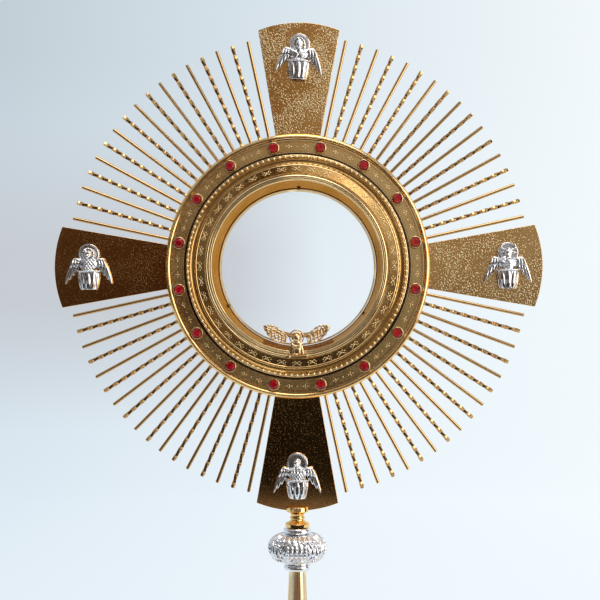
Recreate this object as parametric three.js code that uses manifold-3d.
// A sunburst monstrance: a round foot, a trumpet stem and a knob carry a glazed case with a
// jewelled front, four plate arms in a cross, rods fanned between them, and four cast figures.
// Millimetres, +Z up. The front faces -Y, and the foot's underside is centred on the origin.
// Angles round the head run clockwise from the top, as seen from the front.

import * as THREE from 'three';
import { mergeVertices } from 'three/addons/utils/BufferGeometryUtils.js';
import Module from 'manifold-3d';

const wasm = await Module();
wasm.setup();

// ---------------------------------------------------------------- driving dimensions

const GAP = 0.3; // left between pieces that touch
const SUN_HEIGHT = 460; // middle of the window above the table

// Foot and stem
const PAD_THICKNESS = 2;
const FOOT_RADIUS = 90;
const FOOT_RIM_HEIGHT = 10;
const FOOT_RIM_WIDTH = 20;
const DOME_RADIUS = 84;
const DOME_TOP_RADIUS = 26;
const DOME_TOP = 60; // height of the dome's top above the table
const DOME_WALL = 1.6;
const STEM_FOOT_RADIUS = 22.6;
const STEM_TOP_RADIUS = 5.5;
const STEM_WALL = 1.3;
const ROD_RADIUS = 2.5;
const ROD_CLEARANCE = 0.5;
const NUT_RADIUS = 9;
const NUT_HEIGHT = 5;

// Knob, its two collars and the ferrule, built down from the bottom arm's end
const FERRULE_HEIGHT = 13.5;
const FERRULE_RADIUS = 7.35;
const FERRULE_NECK_RADIUS = 3.9;
const FERRULE_RING_RADIUS = 5.2;
const UPPER_COLLAR_HEIGHT = 3.7;
const UPPER_COLLAR_RADIUS = 9.2;
const KNOB_HEIGHT = 19.6;
const KNOB_RADIUS = 19.15;
const KNOB_NECK_RADIUS = 9.2;
const KNOB_FULLNESS = 2.3; // exponent of its swelling outline
const LOWER_COLLAR_HEIGHT = 3.9;
const LOWER_COLLAR_RADIUS = 8.9;

// Jewelled front
const RIM_RADIUS = 86.5;
const RIM_WIDTH = 3.3;
const RIM_RISE = 3.1;
const BAND_INNER_RADIUS = 74.3;
const BAND_THICKNESS = 1.3;
const GEM_COUNT = 16;
const GEM_CIRCLE = 78.6;
const GEM_RADIUS = 3.1;
const GEM_RISE = 1.3;
const SETTING_WALL = 0.5;
const SETTING_HEIGHT = 2.6;
const BEZEL_RISE = 5.2; // height of the bezel's outer edge over the band's back
const BEZEL_SLOPE = 1.4; // how much higher its inner edge stands
const BEZEL_FLANK = 1.8; // how much its outer flank leans in
const CHANNEL_DEPTH = 1;
const CHANNEL_WIDTH = 3.6;
const BEAD_RADIUS = 1.05;
const LIP_RISE = 1.8;
const LIP_WIDTH = 2.1;

// Window and case
const WINDOW_FRONT_RADIUS = 56;
const WINDOW_BACK_RADIUS = 52;
const REVEAL_WALL = 1.2;
const REVEAL_DEPTH = 21.6;
const GLASS_THICKNESS = 1.6;
const GLASS_MARGIN = 4.5; // how far the glass reaches past the clear window
const CLAMP_THICKNESS = 1.5;
const TAB_WIDTH = 2;
const TAB_LENGTH = 4;
const TAB_ANGLES = [1, 125, 241];
const DRUM_RADIUS = 63;
const DRUM_WALL = 2.5;
const DRUM_LENGTH = 28;
const FLANGE_WIDTH = 4.6;
const FLANGE_THICKNESS = 1.6;
const BACKING_RADIUS = 85;
const BACKING_THICKNESS = 1.6;

// Rear door, its hinge and its turn-button
const DOOR_THICKNESS = 3;
const DOOR_LIP = 1.4;
const DOOR_SPIGOT = 1.6;
const REAR_WINDOW_RADIUS = 55;
const REAR_GLASS_THICKNESS = 1.4;
const HINGE_REACH = 4.4; // from the door's edge to the pin
const KNUCKLE_RADIUS = 2.3;
const KNUCKLE_LENGTH = 12;
const DOOR_KNUCKLE_LENGTH = 15;
const PIN_RADIUS = 1;
const PIN_CLEARANCE = 0.35;
const LATCH_REACH = 5.9; // from the door's edge to the turn-button's spindle
const LATCH_KNOB_RADIUS = 4.5;
const LATCH_KNOB_LENGTH = 5.5;
const LATCH_SPINDLE_RADIUS = 1.3;
const LATCH_TONGUE = 9.5;
const LATCH_TONGUE_WIDTH = 3.2;
const LATCH_TONGUE_THICKNESS = 1.6;

// Arms, rods and figures
const ARM_RADIUS = 160;
const ARM_HALF_ANGLE = 9.8;
const ARM_END_RADIUS = 72;
const ARM_INNER_RADIUS = 76;
const ARM_THICKNESS = 2;
const RAY_LAYER = 2.2; // space between the band and the backing ring
const RAY_COUNT = 17;
const RAY_RADIUS = 151.3;
const ROUND_ROD_RADIUS = 1.1;
const TWISTED_ROD_RADIUS = 1.4;
const HOOP_INNER_RADIUS = 78;
const HOOP_WIDTH = 4;
const RAY_STEPS_PER_QUADRANT = 22;
const FIRST_RAY_STEP = 3;
const FIGURE_CIRCLE = 137;
const FIGURE_WIDTH = 31.5;
const FIGURE_HEIGHT = 30.4;
const FIGURE_DEPTH = 8;
const HALO_RADIUS = 6.9;
const CUP_TOP_WIDTH = 16;
const CUP_BOTTOM_WIDTH = 12;
const CUP_HEIGHT = 12.4;

// Angel on the lip, and the lunula that grips the host's lower edge
const ANGEL_BASE_WIDTH = 13.8;
const ANGEL_WING_SPAN = 44;
const ANGEL_WING_TIP_DROP = 38.9;
const ANGEL_HEAD_DROP = 46.3;
const ANGEL_HALO_RADIUS = 4.4;
const ANGEL_HEAD_RADIUS = 3.1;
const ANGEL_DEPTH = 4.5;
const HOST_RADIUS = 44.5;
const HOST_SLOT = 1.2;
const JAW_THICKNESS = 1.2;
const JAW_GRIP = 1;
const JAW_WIDTH = 3.2;
const JAW_HALF_ANGLE = 26;
const JAW_SET_BACK = 2; // from the clamp ring to the front jaw
const JAW_PIN_RADIUS = 0.6;
const RAIL_WIDTH = 12;
const RAIL_HEIGHT = 4.8;
const RAIL_GROOVE = 4.4;
const RAIL_FLOOR = 1.6;
const SHOE_LENGTH = 6;

// Support behind the bottom arm
const POST_THICKNESS = 2.8;
const POST_BOTTOM_WIDTH = 9;
const POST_TOP_WIDTH = 16;

// Facets round a full turn
const WIDE_FACETS = 32;
const SLIM_FACETS = 20;
const SMALL_FACETS = 10;
const PIN_FACETS = 8;
const BALL_FACETS = [8, 6]; // round and down a ball

const GOLD = { color: 0xc9a25a, roughness: 0.25, metalness: 1 };
const ROSE_GOLD = { color: 0xd19a6a, roughness: 0.3, metalness: 1 };
const HAMMERED_GOLD = { color: 0x8c6c3e, roughness: 0.45, metalness: 1 };
const SILVER = { color: 0xb9b9bc, roughness: 0.35, metalness: 1 };
const STEEL = { color: 0x8f9296, roughness: 0.4, metalness: 1 };
const GLASS = { color: 0xe8f0f2, roughness: 0.05, metalness: 0, transparent: true, opacity: 0.25 };
const RUBY = { color: 0x9c0f1a, roughness: 0.08, metalness: 0 };
const FELT = { color: 0x24452f, roughness: 0.95, metalness: 0 };

// ---------------------------------------------------------------- making and placing solids

const monstrance = new THREE.Group();
const head = new THREE.Group();
head.position.z = SUN_HEIGHT;
monstrance.add(head);

const radians = THREE.MathUtils.degToRad;

/** Six times the volume inside a closed mesh, negative when its faces point inwards. */
function signedVolume(positions, triangles) {
  const [a, b, c] = [new THREE.Vector3(), new THREE.Vector3(), new THREE.Vector3()];
  let sum = 0;
  for (let i = 0; i < triangles.length; i += 3) {
    a.fromArray(positions, 3 * triangles[i]);
    b.fromArray(positions, 3 * triangles[i + 1]);
    c.fromArray(positions, 3 * triangles[i + 2]);
    sum += a.dot(b.cross(c));
  }
  return sum;
}

/** A closed geometry as a solid, with shared corners merged and its faces turned out. */
function solid(geometry) {
  const bare = geometry.clone();
  bare.deleteAttribute('normal');
  bare.deleteAttribute('uv');
  const merged = mergeVertices(bare);
  const positions = merged.attributes.position.array;
  const triangles = [];
  for (let i = 0; i < merged.index.count; i += 3) {
    const [a, b, c] = merged.index.array.slice(i, i + 3);
    if (a !== b && b !== c && c !== a) triangles.push(a, b, c);
  }
  if (signedVolume(positions, triangles) < 0) triangles.reverse();
  const mesh = new wasm.Mesh({
    numProp: 3,
    vertProperties: new Float32Array(positions),
    triVerts: new Uint32Array(triangles),
  });
  return new wasm.Manifold(mesh);
}

/** Joins solids into one. */
function join(...solids) {
  return solids.reduce((whole, piece) => whole.add(piece));
}

/** Adds a solid to a group as a named mesh with its own material. */
function place(parent, name, body, look) {
  const { vertProperties, triVerts } = body.getMesh();
  const geometry = new THREE.BufferGeometry();
  geometry.setAttribute('position', new THREE.BufferAttribute(vertProperties, 3));
  geometry.setIndex(new THREE.BufferAttribute(triVerts, 1));
  geometry.computeVertexNormals();
  const mesh = new THREE.Mesh(geometry, new THREE.MeshStandardMaterial(look));
  mesh.name = name;
  parent.add(mesh);
  return mesh;
}

/** Closed outline of [radius, depth] pairs turned about the head's own Y axis. */
function turned(outline, facets = WIDE_FACETS) {
  const points = [...outline, outline[0]].map(([radius, y]) => new THREE.Vector2(radius, y));
  return solid(new THREE.LatheGeometry(points, facets));
}

/** Closed outline of [radius, height] pairs turned about the vertical stem axis. */
function spun(outline, facets = SLIM_FACETS) {
  const points = [...outline, outline[0]].map(([radius, z]) => new THREE.Vector2(radius, z));
  return solid(new THREE.LatheGeometry(points, facets).rotateX(Math.PI / 2));
}

/** Flat ring or disc on the head's axis, between two depths. */
function ring(inner, outer, front, back, facets = WIDE_FACETS) {
  return turned([[inner, front], [outer, front], [outer, back], [inner, back]], facets);
}

/** Box from its lowest to its highest corner. */
function block(low, high) {
  const size = high.map((value, i) => value - low[i]);
  const middle = high.map((value, i) => (value + low[i]) / 2);
  return solid(new THREE.BoxGeometry(...size).translate(...middle));
}

/** Cylinder along one axis, from one end to the other. */
function bar(axis, radius, from, to, [first, second] = [0, 0], facets = SMALL_FACETS) {
  const geometry = new THREE.CylinderGeometry(radius, radius, to - from, facets);
  const middle = (from + to) / 2;
  if (axis === 'x') geometry.rotateZ(Math.PI / 2).translate(middle, first, second);
  if (axis === 'y') geometry.translate(first, middle, second);
  if (axis === 'z') geometry.rotateX(Math.PI / 2).translate(first, second, middle);
  return solid(geometry);
}

/** Plate with an outline in the X-Z plane, between two depths. */
function plate(outline, front, back, curveSegments = 8) {
  const extrusion = { depth: back - front, bevelEnabled: false, curveSegments };
  const geometry = new THREE.ExtrudeGeometry(outline, extrusion);
  return solid(geometry.rotateX(Math.PI / 2).translate(0, back, 0));
}

/** Direction [x, z] at an angle in degrees, clockwise from the top. */
function direction(angle) {
  return [Math.sin(radians(angle)), Math.cos(radians(angle))];
}

/** Point [x, z] at a radius and an angle round the head. */
function polar(radius, angle) {
  return direction(angle).map((part) => part * radius);
}

/** Outline of a band of the head's circle, from one angle to another. */
function bandOutline(inner, outer, from, to, steps) {
  const shape = new THREE.Shape();
  const angles = Array.from({ length: steps + 1 }, (_, i) => from + ((to - from) * i) / steps);
  angles.forEach((angle, i) => {
    const [x, z] = polar(outer, angle);
    if (i === 0) shape.moveTo(x, z);
    else shape.lineTo(x, z);
  });
  angles.reverse().forEach((angle) => shape.lineTo(...polar(inner, angle)));
  return shape;
}

// ---------------------------------------------------------------- heights down the stem

const armEnd = SUN_HEIGHT - ARM_RADIUS;
const ferruleTop = armEnd + 3;
const ferruleBottom = ferruleTop - FERRULE_HEIGHT;
const upperCollarTop = ferruleBottom - GAP;
const knobTop = upperCollarTop - UPPER_COLLAR_HEIGHT - GAP;
const lowerCollarTop = knobTop - KNOB_HEIGHT - GAP;
const stemTop = lowerCollarTop - LOWER_COLLAR_HEIGHT - GAP;
const stemBottom = DOME_TOP + GAP;
const rodBore = ROD_RADIUS + ROD_CLEARANCE;
const rodTop = ferruleBottom + FERRULE_HEIGHT / 2;

// ---------------------------------------------------------------- foot

/** Felt disc under the foot, the only part that meets the table. */
function makeFootPad() {
  const radius = FOOT_RADIUS - 3;
  const pad = spun([[0, 0], [radius, 0], [radius, PAD_THICKNESS], [0, PAD_THICKNESS]], WIDE_FACETS);
  place(monstrance, 'foot_pad', pad, FELT);
}

/** Heavy turned ring round the foot, with a stepped and rounded edge. */
function makeFootRim() {
  const bottom = PAD_THICKNESS + GAP;
  const top = bottom + FOOT_RIM_HEIGHT;
  const inner = FOOT_RADIUS - FOOT_RIM_WIDTH;
  const outline = [
    [inner, bottom], [FOOT_RADIUS - 1, bottom], [FOOT_RADIUS, bottom + 1.2],
    [FOOT_RADIUS, bottom + 4], [FOOT_RADIUS - 3, bottom + 5.5], [FOOT_RADIUS - 3.6, top],
    [inner, top],
  ];
  place(monstrance, 'foot_rim', spun(outline, WIDE_FACETS), GOLD);
}

/** Radius of the domed foot at a share of its height: an ogee from the rim up to the stem. */
function domeRadius(share) {
  const swell = Math.pow(Math.cos((share * Math.PI) / 2), 1.6);
  return DOME_TOP_RADIUS + (DOME_RADIUS - DOME_TOP_RADIUS) * swell;
}

/** Domed shell of the foot, closed on top by a web that the tie rod's nut pulls on. */
function makeFootDome() {
  const bottom = PAD_THICKNESS + GAP + FOOT_RIM_HEIGHT + GAP;
  const steps = 6;
  const outside = [];
  const inside = [];
  for (let i = 0; i <= steps; i += 1) {
    const share = i / steps;
    outside.push([domeRadius(share), bottom + (DOME_TOP - bottom) * share]);
    inside.push([domeRadius(share) - DOME_WALL, bottom + (DOME_TOP - DOME_WALL - bottom) * share]);
  }
  const web = [[rodBore, DOME_TOP], [rodBore, DOME_TOP - DOME_WALL]];
  const outline = [...outside, ...web, ...inside.reverse()];
  place(monstrance, 'foot_dome', spun(outline, WIDE_FACETS), GOLD);
}

/** Flanged nut that pulls the whole stem together from inside the foot. */
function makeTieNut() {
  const top = DOME_TOP - DOME_WALL - GAP;
  const flange = bar('z', NUT_RADIUS, top - 1.5, top, [0, 0], SLIM_FACETS);
  const hexagon = bar('z', NUT_RADIUS * 0.75, top - NUT_HEIGHT, top - 1, [0, 0], 6);
  const bore = bar('z', ROD_RADIUS + GAP, top - NUT_HEIGHT - 1, top + 1);
  place(monstrance, 'tie_nut', join(flange, hexagon).subtract(bore), STEEL);
}

// ---------------------------------------------------------------- stem, knob and ferrule

/** Radius of the trumpet stem at a height, growing by a constant share per millimetre. */
function stemRadius(z) {
  const share = (stemTop - z) / (stemTop - stemBottom);
  return STEM_TOP_RADIUS * Math.pow(STEM_FOOT_RADIUS / STEM_TOP_RADIUS, share);
}

/** Drawn trumpet tube. */
function makeStem() {
  const steps = 7;
  const outside = [];
  const inside = [];
  for (let i = 0; i <= steps; i += 1) {
    const z = stemBottom + ((stemTop - stemBottom) * i) / steps;
    outside.push([stemRadius(z), z]);
    inside.push([stemRadius(z) - STEM_WALL, z]);
  }
  place(monstrance, 'stem', spun([...outside, ...inside.reverse()]), GOLD);
}

/** Steel rod through the stem and the knob, threaded into the ferrule. */
function makeTieRod() {
  const bottom = DOME_TOP - DOME_WALL - GAP - NUT_HEIGHT - 3;
  place(monstrance, 'tie_rod', bar('z', ROD_RADIUS, bottom, rodTop - GAP), STEEL);
}

/** Turned collar: a flange with a rounded edge round the tie rod. */
function makeCollar(name, bottom, height, radius) {
  const outline = [
    [rodBore, bottom], [radius - 1, bottom], [radius, bottom + height * 0.3],
    [radius, bottom + height * 0.7], [radius - 1, bottom + height], [rodBore, bottom + height],
  ];
  place(monstrance, name, spun(outline), SILVER);
}

/** Radius of the knob at a place from -1, its bottom, to 1, its top. */
function knobRadius(place) {
  const swell = Math.pow(1 - Math.pow(Math.abs(place), KNOB_FULLNESS), 1 / KNOB_FULLNESS);
  return KNOB_NECK_RADIUS + (KNOB_RADIUS - KNOB_NECK_RADIUS) * swell;
}

/** Cast knob, a flattened ball bored for the tie rod. */
function makeKnob() {
  const steps = 10;
  const middle = knobTop - KNOB_HEIGHT / 2;
  const outline = [];
  for (let i = 0; i <= steps; i += 1) {
    const along = -Math.cos((i / steps) * Math.PI);
    outline.push([knobRadius(along), middle + (along * KNOB_HEIGHT) / 2]);
  }
  outline.push([rodBore, knobTop], [rodBore, knobTop - KNOB_HEIGHT]);
  place(monstrance, 'knob', spun(outline), SILVER);
}

/** Small baluster under the head, slotted on top for the end of the bottom arm. */
function makeFerrule() {
  const z = (fromBottom) => ferruleBottom + fromBottom;
  const outline = [
    [0, z(0)], [FERRULE_RADIUS - 0.5, z(0)], [FERRULE_RADIUS, z(0.8)], [FERRULE_RADIUS, z(1.9)],
    [FERRULE_NECK_RADIUS + 1, z(3)], [FERRULE_NECK_RADIUS, z(5.5)],
    [FERRULE_RING_RADIUS, z(6.5)], [FERRULE_RING_RADIUS, z(7.8)],
    [FERRULE_NECK_RADIUS + 0.6, z(8.8)], [FERRULE_RADIUS, z(11.3)], [FERRULE_RADIUS, z(12.8)],
    [FERRULE_RADIUS - 0.5, z(FERRULE_HEIGHT)], [0, z(FERRULE_HEIGHT)],
  ];
  const reach = FERRULE_RADIUS + 1;
  const slotTop = ferruleTop + 1;
  const slot = block([-reach, armFront - GAP, armEnd - GAP], [reach, armBack + GAP, slotTop]);
  const thread = bar('z', ROD_RADIUS + GAP, ferruleBottom - 1, rodTop);
  place(monstrance, 'ferrule', spun(outline).subtract(slot).subtract(thread), GOLD);
}

// ---------------------------------------------------------------- depths through the head

const layerMiddle = RAY_LAYER / 2;
const armFront = layerMiddle - ARM_THICKNESS / 2;
const armBack = layerMiddle + ARM_THICKNESS / 2;
const bandBack = -GAP;
const bandFront = bandBack - BAND_THICKNESS;
const backingFront = RAY_LAYER + 0.4;
const backingBack = backingFront + BACKING_THICKNESS;
const bezelBack = backingFront - GAP;
const bezelBore = WINDOW_FRONT_RADIUS + REVEAL_WALL + 2 * GAP;
const bezelOuter = BAND_INNER_RADIUS - GAP;
const bezelShoulder = bandBack - BEZEL_RISE;
const lipFront = bezelShoulder - BEZEL_SLOPE - LIP_RISE;
const revealFront = lipFront;
const revealBack = revealFront + REVEAL_DEPTH;
const glassFront = revealBack + GAP;
const glassBack = glassFront + GLASS_THICKNESS;
const clampFront = glassBack + GAP;
const clampBack = clampFront + CLAMP_THICKNESS;
const drumBore = DRUM_RADIUS - DRUM_WALL;
const drumFront = backingBack + GAP;
const drumBack = drumFront + DRUM_LENGTH;
const doorFront = drumBack + 0.4;
const doorBack = doorFront + DOOR_THICKNESS;
const doorRadius = DRUM_RADIUS + FLANGE_WIDTH;

// ---------------------------------------------------------------- jewelled front

/** Rolled wire ring round the jewelled front, which also hides the inner ends of the rods. */
function makeRim() {
  const inner = RIM_RADIUS - RIM_WIDTH;
  const outline = [
    [inner, bandBack], [inner, bandBack - RIM_RISE * 0.6],
    [inner + RIM_WIDTH * 0.3, bandBack - RIM_RISE],
    [RIM_RADIUS - RIM_WIDTH * 0.3, bandBack - RIM_RISE], [RIM_RADIUS, bandBack - RIM_RISE * 0.6],
    [RIM_RADIUS, bandBack],
  ];
  place(head, 'rim_ring', turned(outline), GOLD);
}

/** Engraved flat ring with a raised cup for each stone. */
function makeGemBand() {
  const outer = RIM_RADIUS - RIM_WIDTH - GAP;
  const settingRadius = GEM_RADIUS + GAP + SETTING_WALL;
  const pocket = GEM_RADIUS + GAP;
  const settingFront = bandFront - SETTING_HEIGHT;
  let band = ring(BAND_INNER_RADIUS, outer, bandFront, bandBack);
  for (let i = 0; i < GEM_COUNT; i += 1) {
    const middle = polar(GEM_CIRCLE, gemAngle(i));
    band = band.add(bar('y', settingRadius, settingFront, bandFront + 0.5, middle, SMALL_FACETS));
    band = band.subtract(bar('y', pocket, settingFront - 1, bandFront - 0.5, middle, SMALL_FACETS));
  }
  place(head, 'gem_band', band, GOLD);
}

/** Angle of one stone: the first stands half a step past the top. */
function gemAngle(i) {
  return (i + 0.5) * (360 / GEM_COUNT);
}

/** Round red stones with a domed crown, one in each cup. */
function makeGems() {
  const back = bandFront - 0.5 - GAP;
  const girdle = bandFront - SETTING_HEIGHT;
  const outline = [
    [0, back], [GEM_RADIUS, back], [GEM_RADIUS, girdle], [GEM_RADIUS * 0.6, girdle - GEM_RISE * 0.8],
    [0, girdle - GEM_RISE],
  ];
  for (let i = 0; i < GEM_COUNT; i += 1) {
    const name = `gem_${String(i + 1).padStart(2, '0')}`;
    const gem = place(head, name, turned(outline, SMALL_FACETS), RUBY);
    const [x, z] = polar(GEM_CIRCLE, gemAngle(i));
    gem.position.set(x, 0, z);
  }
}

/** Proud inner bezel: leaning flank, bead seat, channel, sloping engraved face and lip. */
function makeBezel() {
  const shoulder = bezelOuter - BEZEL_FLANK;
  const seat = shoulder - 2 * BEAD_RADIUS - GAP;
  const faceEdge = seat - CHANNEL_WIDTH;
  const lipEdge = bezelBore + LIP_WIDTH;
  const faceInner = bezelShoulder - BEZEL_SLOPE;
  const outline = [
    [bezelBore, bezelBack], [bezelOuter, bezelBack], [bezelOuter, bandFront],
    [shoulder, bezelShoulder + 0.5], [seat, bezelShoulder + 0.5],
    [seat - 0.3, bezelShoulder + CHANNEL_DEPTH], [faceEdge + 0.3, bezelShoulder + CHANNEL_DEPTH],
    [faceEdge, bezelShoulder], [lipEdge, faceInner], [lipEdge, lipFront + 0.6],
    [lipEdge - 0.6, lipFront], [bezelBore + 0.3, lipFront], [bezelBore, lipFront + 0.3],
  ];
  place(head, 'window_bezel', turned(outline), GOLD);
}

/** Beaded wire on the bezel's shoulder. */
function makeBeadRing() {
  const circle = bezelOuter - BEZEL_FLANK - BEAD_RADIUS;
  const middle = bezelShoulder + 0.5 - GAP - BEAD_RADIUS;
  const outline = Array.from({ length: 6 }, (_, i) => {
    const turn = radians(30 + 60 * i);
    return [circle + BEAD_RADIUS * Math.cos(turn), middle + BEAD_RADIUS * Math.sin(turn)];
  });
  place(head, 'bead_ring', turned(outline), GOLD);
}

/** Polished funnel from the front lip back to the front glass. */
function makeReveal() {
  const [front, back] = [WINDOW_FRONT_RADIUS, WINDOW_BACK_RADIUS];
  const outline = [
    [front, revealFront + 0.4], [front + REVEAL_WALL * 0.5, revealFront],
    [front + REVEAL_WALL, revealFront + 0.4], [back + REVEAL_WALL, revealBack],
    [back, revealBack],
  ];
  place(head, 'window_reveal', turned(outline), ROSE_GOLD);
}

/** Thin ring in the back of the funnel with three tabs forward along its wall. */
function makeGlassRing() {
  const width = 1.1;
  const outer = WINDOW_BACK_RADIUS - GAP;
  let body = ring(outer - width, outer, revealBack - 1.2, revealBack);
  for (const angle of TAB_ANGLES) {
    const tab = bandOutline(outer - width, outer - 0.1, angle - tabHalfAngle, angle + tabHalfAngle, 1);
    body = body.add(plate(tab, revealBack - 1 - TAB_LENGTH, revealBack - 0.6));
  }
  place(head, 'glass_ring', body, GOLD);
}

const tabHalfAngle = THREE.MathUtils.radToDeg(TAB_WIDTH / 2 / WINDOW_BACK_RADIUS);

/** Front glass behind the funnel, and the ring that clamps it from inside the case. */
function makeFrontGlass() {
  const radius = WINDOW_BACK_RADIUS + GLASS_MARGIN;
  place(head, 'front_glass', ring(0, radius, glassFront, glassBack), GLASS);
  const clamp = ring(WINDOW_BACK_RADIUS + 2, drumBore - GAP, clampFront, clampBack);
  place(head, 'glass_clamp_ring', clamp, GOLD);
}

// ---------------------------------------------------------------- case

/** Flat ring behind the arms and rods, which everything on the front is fixed to. */
function makeBackingRing() {
  const body = ring(bezelBore, BACKING_RADIUS, backingFront, backingBack);
  place(head, 'backing_ring', body, GOLD);
}

const hingeX = doorRadius + HINGE_REACH;
const hingeY = doorFront + DOOR_THICKNESS * 0.4;
const knuckleStart = DOOR_KNUCKLE_LENGTH / 2 + GAP;
const pinBore = PIN_RADIUS + PIN_CLEARANCE;

/** Cylinder on the door hinge's axis, from one height to another. */
function hingeBarrel(radius, from, to) {
  return bar('z', radius, from, to, [hingeX, hingeY], PIN_FACETS);
}

/** Drum of the case: a tube with a rear flange and the fixed half of the hinge. */
function makeDrum() {
  const flange = drumBack - FLANGE_THICKNESS;
  const outline = [
    [drumBore, drumFront], [DRUM_RADIUS, drumFront], [DRUM_RADIUS, flange], [doorRadius, flange],
    [doorRadius, drumBack], [drumBore, drumBack],
  ];
  let body = turned(outline);
  for (const side of [-1, 1]) {
    const ends = [side * knuckleStart, side * (knuckleStart + KNUCKLE_LENGTH)].sort((a, b) => a - b);
    const leaf = block([DRUM_RADIUS - 1, flange, ends[0]], [hingeX, drumBack, ends[1]]);
    body = body.add(leaf).add(hingeBarrel(KNUCKLE_RADIUS, ...ends));
    body = body.subtract(hingeBarrel(pinBore, ends[0] - 1, ends[1] + 1));
  }
  place(head, 'case_drum', body, GOLD);
}

/** Pin of the door's hinge, held in the drum's two knuckles. */
function makeHingePin() {
  const reach = knuckleStart + KNUCKLE_LENGTH;
  const pin = hingeBarrel(PIN_RADIUS, -reach, reach + 1);
  const cap = hingeBarrel(PIN_RADIUS * 1.8, reach + GAP, reach + 1.6);
  place(head, 'hinge_pin', join(pin, cap), STEEL);
}

// ---------------------------------------------------------------- rear door

const latchX = -(doorRadius + LATCH_REACH);
const rearGlassRadius = REAR_WINDOW_RADIUS + 2.6;
const glassPocket = rearGlassRadius + GAP;
const spigotRadius = drumBore - 0.5;

/** Door frame: a ring with a spigot into the drum, a hinge knuckle and an ear for the latch. */
function makeDoorFrame() {
  const outline = [
    [glassPocket, doorFront - DOOR_SPIGOT], [spigotRadius, doorFront - DOOR_SPIGOT],
    [spigotRadius, doorFront], [doorRadius, doorFront], [doorRadius, doorBack - 0.6],
    [doorRadius - 0.6, doorBack], [REAR_WINDOW_RADIUS, doorBack],
    [REAR_WINDOW_RADIUS, doorBack - DOOR_LIP], [glassPocket, doorBack - DOOR_LIP],
  ];
  const half = DOOR_KNUCKLE_LENGTH / 2;
  const leaf = block([DRUM_RADIUS, doorFront, -half], [hingeX, doorFront + 1.6, half]);
  const barrel = hingeBarrel(KNUCKLE_RADIUS, -half, half);
  const bore = hingeBarrel(pinBore, -half - 1, half + 1);
  const earReach = LATCH_KNOB_RADIUS + 0.5;
  const ear = block([latchX - earReach, doorFront, -earReach], [-DRUM_RADIUS, doorBack, earReach]);
  const hole = bar('y', LATCH_SPINDLE_RADIUS + PIN_CLEARANCE, doorFront - 1, doorBack + 1, [latchX, 0]);
  const body = join(turned(outline), leaf, barrel, ear).subtract(bore).subtract(hole);
  place(head, 'door_frame', body, GOLD);
}

/** Rear glass against the door's lip, and the spring ring that keeps it there. */
function makeRearGlass() {
  const back = doorBack - DOOR_LIP - GAP;
  const front = back - REAR_GLASS_THICKNESS;
  place(head, 'rear_glass', ring(0, rearGlassRadius, front, back), GLASS);
  const spring = ring(REAR_WINDOW_RADIUS, rearGlassRadius, doorFront - DOOR_SPIGOT, front - GAP);
  place(head, 'door_glass_ring', spring, STEEL);
}

/** Turn-button: a knob behind the door, a spindle, and a tongue that hooks under the flange. */
function makeLatch() {
  const knobFront = doorBack + GAP;
  const tongueBack = drumBack - FLANGE_THICKNESS - 0.5;
  const tongueFront = tongueBack - LATCH_TONGUE_THICKNESS;
  const half = LATCH_TONGUE_WIDTH / 2;
  const collar = knobFront + LATCH_KNOB_LENGTH * 0.4;
  const knob = bar('y', LATCH_KNOB_RADIUS, knobFront, collar, [latchX, 0], SLIM_FACETS);
  const grip = block(
    [latchX - 1.1, knobFront, -LATCH_KNOB_RADIUS * 0.9],
    [latchX + 1.1, knobFront + LATCH_KNOB_LENGTH, LATCH_KNOB_RADIUS * 0.9],
  );
  const spindle = bar('y', LATCH_SPINDLE_RADIUS, tongueFront, knobFront + 1, [latchX, 0]);
  const tongue = block(
    [latchX - half, tongueFront, -half],
    [latchX + half, tongueBack, LATCH_TONGUE],
  );
  place(head, 'door_latch', join(knob, grip, spindle, tongue), GOLD);
}

// ---------------------------------------------------------------- arms and rods

/** Plate arm: straight sides that run to the head's centre, and a rounded outer end. */
function makeArm(name, angle) {
  const shape = new THREE.Shape();
  const halfAngle = radians(ARM_HALF_ANGLE);
  const arcCentre = ARM_RADIUS - ARM_END_RADIUS;
  // Where the side, a ray at the half angle, meets the end arc.
  const along = arcCentre * Math.cos(halfAngle);
  const across = arcCentre * Math.sin(halfAngle);
  const side = along + Math.sqrt(ARM_END_RADIUS ** 2 - across ** 2);
  const cornerX = side * Math.sin(halfAngle);
  const cornerZ = side * Math.cos(halfAngle);
  const start = Math.atan2(cornerZ - arcCentre, cornerX);
  shape.moveTo(-ARM_INNER_RADIUS * Math.sin(halfAngle), ARM_INNER_RADIUS * Math.cos(halfAngle));
  shape.lineTo(ARM_INNER_RADIUS * Math.sin(halfAngle), ARM_INNER_RADIUS * Math.cos(halfAngle));
  shape.lineTo(cornerX, cornerZ);
  shape.absarc(0, arcCentre, ARM_END_RADIUS, start, Math.PI - start, false);
  shape.closePath();
  const arm = place(head, name, plate(shape, armFront, armBack), HAMMERED_GOLD);
  arm.rotation.y = radians(angle);
}

/** One rod of a fan, lying along its angle. Round rods and twisted square rods alternate. */
function makeRod(angle, isTwisted) {
  const start = HOOP_INNER_RADIUS + 1;
  const radius = isTwisted ? TWISTED_ROD_RADIUS : ROUND_ROD_RADIUS;
  const sides = isTwisted ? 4 : 6;
  const geometry = new THREE.CylinderGeometry(radius, radius, RAY_RADIUS - start, sides, 1);
  geometry.rotateX(Math.PI / 2).translate(0, layerMiddle, (start + RAY_RADIUS) / 2);
  return solid(geometry.rotateY(radians(angle)));
}

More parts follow.
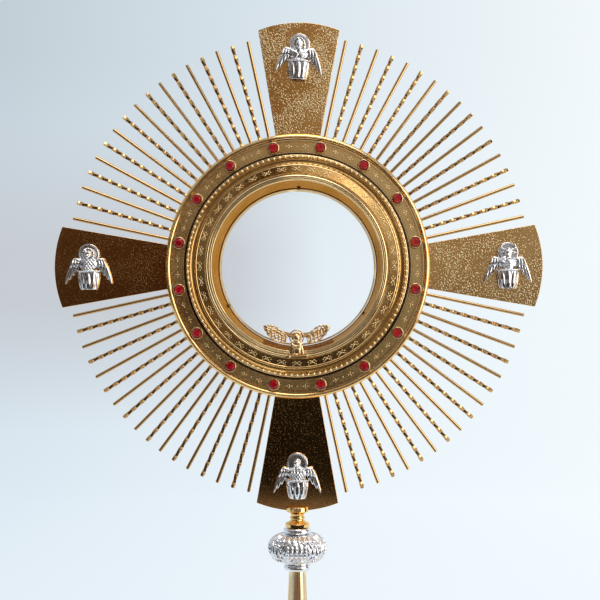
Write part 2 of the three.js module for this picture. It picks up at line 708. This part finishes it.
/** Fan of rods between two arms, brazed to a strip of hoop that the front rim hides. */
function makeRayFan(name, middle) {
  const step = 90 / RAY_STEPS_PER_QUADRANT;
  const first = FIRST_RAY_STEP * step - 45;
  const half = 45 - ARM_HALF_ANGLE - 0.5;
  const hoop = bandOutline(HOOP_INNER_RADIUS, HOOP_INNER_RADIUS + HOOP_WIDTH, -half, half, 8);
  let fan = plate(hoop, 0.05, RAY_LAYER - 0.05);
  for (let i = 0; i < RAY_COUNT; i += 1) {
    fan = fan.add(makeRod(first + i * step, i % 2 === 1));
  }
  const mesh = place(head, name, fan, GOLD);
  mesh.rotation.y = radians(middle);
}

// ---------------------------------------------------------------- cast figures

/** Drooping wing of an evangelist's beast, on the side given by a sign. */
function figureWing(side) {
  const half = FIGURE_WIDTH / 2;
  const shape = new THREE.Shape();
  shape.moveTo(side * 2, 6);
  shape.bezierCurveTo(side * 9, 8, side * half, 4, side * half, -FIGURE_HEIGHT * 0.38);
  shape.bezierCurveTo(side * 12, -6, side * 8, -8, side * 5, -6);
  shape.closePath();
  return plate(shape, figureBack - 3.4, figureBack, 6);
}

const figureBack = armFront - GAP;

/** Half-figure: halo, head, chest and wings rising out of a fluted cup. */
function makeFigure(name, angle, headSize) {
  const bottom = -FIGURE_HEIGHT / 2;
  const haloMiddle = FIGURE_HEIGHT / 2 - HALO_RADIUS;
  const halo = bar('y', HALO_RADIUS, figureBack - 1.8, figureBack, [0, haloMiddle], SLIM_FACETS);
  const skull = new THREE.SphereGeometry(headSize, ...BALL_FACETS);
  const face = solid(skull.scale(1, 0.9, 1.15).translate(0, figureBack - 4.2, haloMiddle));
  const breast = new THREE.SphereGeometry(1, ...BALL_FACETS);
  const chest = solid(breast.scale(6.2, 3.6, 8.5).translate(0, figureBack - 3.7, 0));
  const cupRadii = [CUP_TOP_WIDTH / 2, CUP_BOTTOM_WIDTH / 2];
  const cup = new THREE.CylinderGeometry(...cupRadii, CUP_HEIGHT, SMALL_FACETS);
  cup.rotateX(Math.PI / 2).scale(1, 0.8, 1).translate(0, figureBack, bottom + CUP_HEIGHT / 2);
  const front = block([-20, figureBack - FIGURE_DEPTH, -20], [20, figureBack, 20]);
  const body = join(halo, face, chest, solid(cup), figureWing(-1), figureWing(1)).intersect(front);
  const mesh = place(head, name, body, SILVER);
  const [x, z] = polar(FIGURE_CIRCLE, angle);
  mesh.position.set(x, 0, z);
}

/** Small winged bust that stands on the lip at the bottom of the window. */
function makeAngel() {
  const back = lipFront - GAP;
  const bottom = -(bezelBore + LIP_WIDTH);
  const baseHalf = ANGEL_BASE_WIDTH / 2;
  const base = block([-baseHalf, back - 3, bottom], [baseHalf, back, bottom + 1.6]);
  const halo = bar('y', ANGEL_HALO_RADIUS, back - 1, back, [0, -ANGEL_HEAD_DROP], SLIM_FACETS);
  const skull = new THREE.SphereGeometry(ANGEL_HEAD_RADIUS, ...BALL_FACETS).scale(1, 0.8, 1.1);
  const face = solid(skull.translate(0, back - 2.4, -ANGEL_HEAD_DROP));
  const gown = new THREE.CylinderGeometry(2.6, 4.6, 10, SMALL_FACETS);
  gown.rotateX(Math.PI / 2).scale(1, 0.7, 1);
  const body = solid(gown.translate(0, back - 1.2, bottom + 6));
  const wings = [-1, 1].map((side) => {
    const shape = new THREE.Shape();
    const tip = side * (ANGEL_WING_SPAN / 2);
    shape.moveTo(side * 2, -52);
    shape.quadraticCurveTo(side * 5, -45.5, tip * 0.8, -ANGEL_WING_TIP_DROP + 0.4);
    shape.lineTo(tip, -ANGEL_WING_TIP_DROP - 0.6);
    shape.quadraticCurveTo(side * 18, -46, side * 12, -48.5);
    shape.closePath();
    return plate(shape, back - 2, back, 6);
  });
  const front = block([-30, back - ANGEL_DEPTH, -70], [30, back, -30]);
  place(head, 'angel_ornament', join(base, halo, face, body, ...wings).intersect(front), ROSE_GOLD);
}

// ---------------------------------------------------------------- lunula

const jawFront = clampBack + JAW_SET_BACK;
const jawBack = jawFront + JAW_THICKNESS;
const rearJawFront = jawBack + HOST_SLOT;
const rearJawBack = rearJawFront + JAW_THICKNESS;
const jawInner = HOST_RADIUS - JAW_GRIP;
const jawOuter = jawInner + JAW_WIDTH;
const railBottom = -(drumBore - 0.9);
const railTop = railBottom + RAIL_HEIGHT;
const railBack = doorFront - DOOR_SPIGOT - 0.5;
const pinZ = railTop + 3;
const pinY = (rearJawFront + rearJawBack) / 2;
const knuckle = JAW_PIN_RADIUS + PIN_CLEARANCE + 0.7;
const pinHole = JAW_PIN_RADIUS + PIN_CLEARANCE;
const jawStemHalf = 1.5;
const earWidth = 1.2;

/** Grooved rail on the floor of the case, which the lunula slides on. */
function makeRail() {
  const half = RAIL_WIDTH / 2;
  const rail = block([-half, clampBack + GAP, railBottom], [half, railBack, railTop]);
  const grooveHalf = RAIL_GROOVE / 2;
  const groove = block(
    [-grooveHalf, clampBack - 1, railBottom + RAIL_FLOOR],
    [grooveHalf, railBack + 1, railTop + 1],
  );
  place(head, 'lunula_rail', rail.subtract(groove), GOLD);
}

/** Crescent that follows the host's lower edge, between two depths. */
function crescent(front, back) {
  const outline = bandOutline(jawInner, jawOuter, 180 - JAW_HALF_ANGLE, 180 + JAW_HALF_ANGLE, 10);
  return plate(outline, front, back);
}

/** Front jaw with its post, its two hinge ears and the shoe that runs in the rail. */
function makeFrontJaw() {
  const half = RAIL_GROOVE / 2 - GAP;
  const shoeFront = jawFront - 0.6;
  const shoe = block(
    [-half, shoeFront, railBottom + RAIL_FLOOR + GAP],
    [half, shoeFront + SHOE_LENGTH, railTop + 1],
  );
  const post = block([-jawStemHalf, jawFront, railTop + 0.5], [jawStemHalf, jawBack, -jawInner - 1]);
  const inner = jawStemHalf + GAP;
  const outer = inner + earWidth;
  const web = block([-outer, jawFront, railTop + 0.6], [outer, jawBack - 0.1, pinZ + knuckle]);
  let body = join(crescent(jawFront, jawBack), shoe, post, web);
  for (const [low, high] of [[-outer, -inner], [inner, outer]]) {
    body = body.add(
      block([low, jawFront + 0.1, railTop + 0.6], [high, pinY + knuckle, pinZ + knuckle]),
    );
  }
  const bore = bar('x', pinHole, -outer - 1, outer + 1, [pinY, pinZ], PIN_FACETS);
  place(head, 'lunula_front_jaw', body.subtract(bore), ROSE_GOLD);
}

/** Rear jaw, which tips back about its pin to take the host. */
function makeRearJaw() {
  const stem = block([-jawStemHalf, rearJawFront, pinZ], [jawStemHalf, rearJawBack, -jawInner - 1]);
  const barrel = bar('x', knuckle, -jawStemHalf, jawStemHalf, [pinY, pinZ], PIN_FACETS);
  const bore = bar('x', pinHole, -knuckle - 1, knuckle + 1, [pinY, pinZ], PIN_FACETS);
  const body = join(crescent(rearJawFront, rearJawBack), stem, barrel).subtract(bore);
  place(head, 'lunula_rear_jaw', body, ROSE_GOLD);
}

/** Pin through the two jaws. */
function makeJawPin() {
  const reach = jawStemHalf + GAP + earWidth;
  place(head, 'jaw_pin', bar('x', JAW_PIN_RADIUS, -reach, reach, [pinY, pinZ], PIN_FACETS), STEEL);
}

// ---------------------------------------------------------------- support post

/** Tapered bar behind the bottom arm, from the ferrule up to the case. */
function makePost() {
  const front = backingBack + GAP;
  const bottom = -(SUN_HEIGHT - ferruleTop) + GAP;
  const top = -(DRUM_RADIUS + 1);
  const shape = new THREE.Shape();
  shape.moveTo(-POST_BOTTOM_WIDTH / 2, bottom);
  shape.lineTo(POST_BOTTOM_WIDTH / 2, bottom);
  shape.lineTo(POST_TOP_WIDTH / 2, top);
  shape.lineTo(-POST_TOP_WIDTH / 2, top);
  shape.closePath();
  place(head, 'support_post', plate(shape, front, front + POST_THICKNESS), GOLD);
}

// ---------------------------------------------------------------- the whole object

makeFootPad();
makeFootRim();
makeFootDome();
makeTieNut();
makeTieRod();
makeStem();
makeCollar('lower_collar', stemTop + GAP, LOWER_COLLAR_HEIGHT, LOWER_COLLAR_RADIUS);
makeKnob();
makeCollar('upper_collar', knobTop + GAP, UPPER_COLLAR_HEIGHT, UPPER_COLLAR_RADIUS);
makeFerrule();
makePost();
makeBackingRing();
makeDrum();
makeBezel();
makeBeadRing();
makeReveal();
makeGlassRing();
makeFrontGlass();
makeRim();
makeGemBand();
makeGems();
makeArm('arm_top', 0);
makeArm('arm_right', 90);
makeArm('arm_bottom', 180);
makeArm('arm_left', 270);
makeRayFan('ray_fan_upper_right', 45);
makeRayFan('ray_fan_lower_right', 135);
makeRayFan('ray_fan_lower_left', 225);
makeRayFan('ray_fan_upper_left', 315);
makeFigure('figure_man', 0, 4.2);
makeFigure('figure_ox', 90, 4.8);
makeFigure('figure_eagle', 180, 4.2);
makeFigure('figure_lion', 270, 5);
makeAngel();
makeRail();
makeFrontJaw();
makeRearJaw();
makeJawPin();
makeHingePin();
makeDoorFrame();
makeRearGlass();
makeLatch();

export default monstrance;
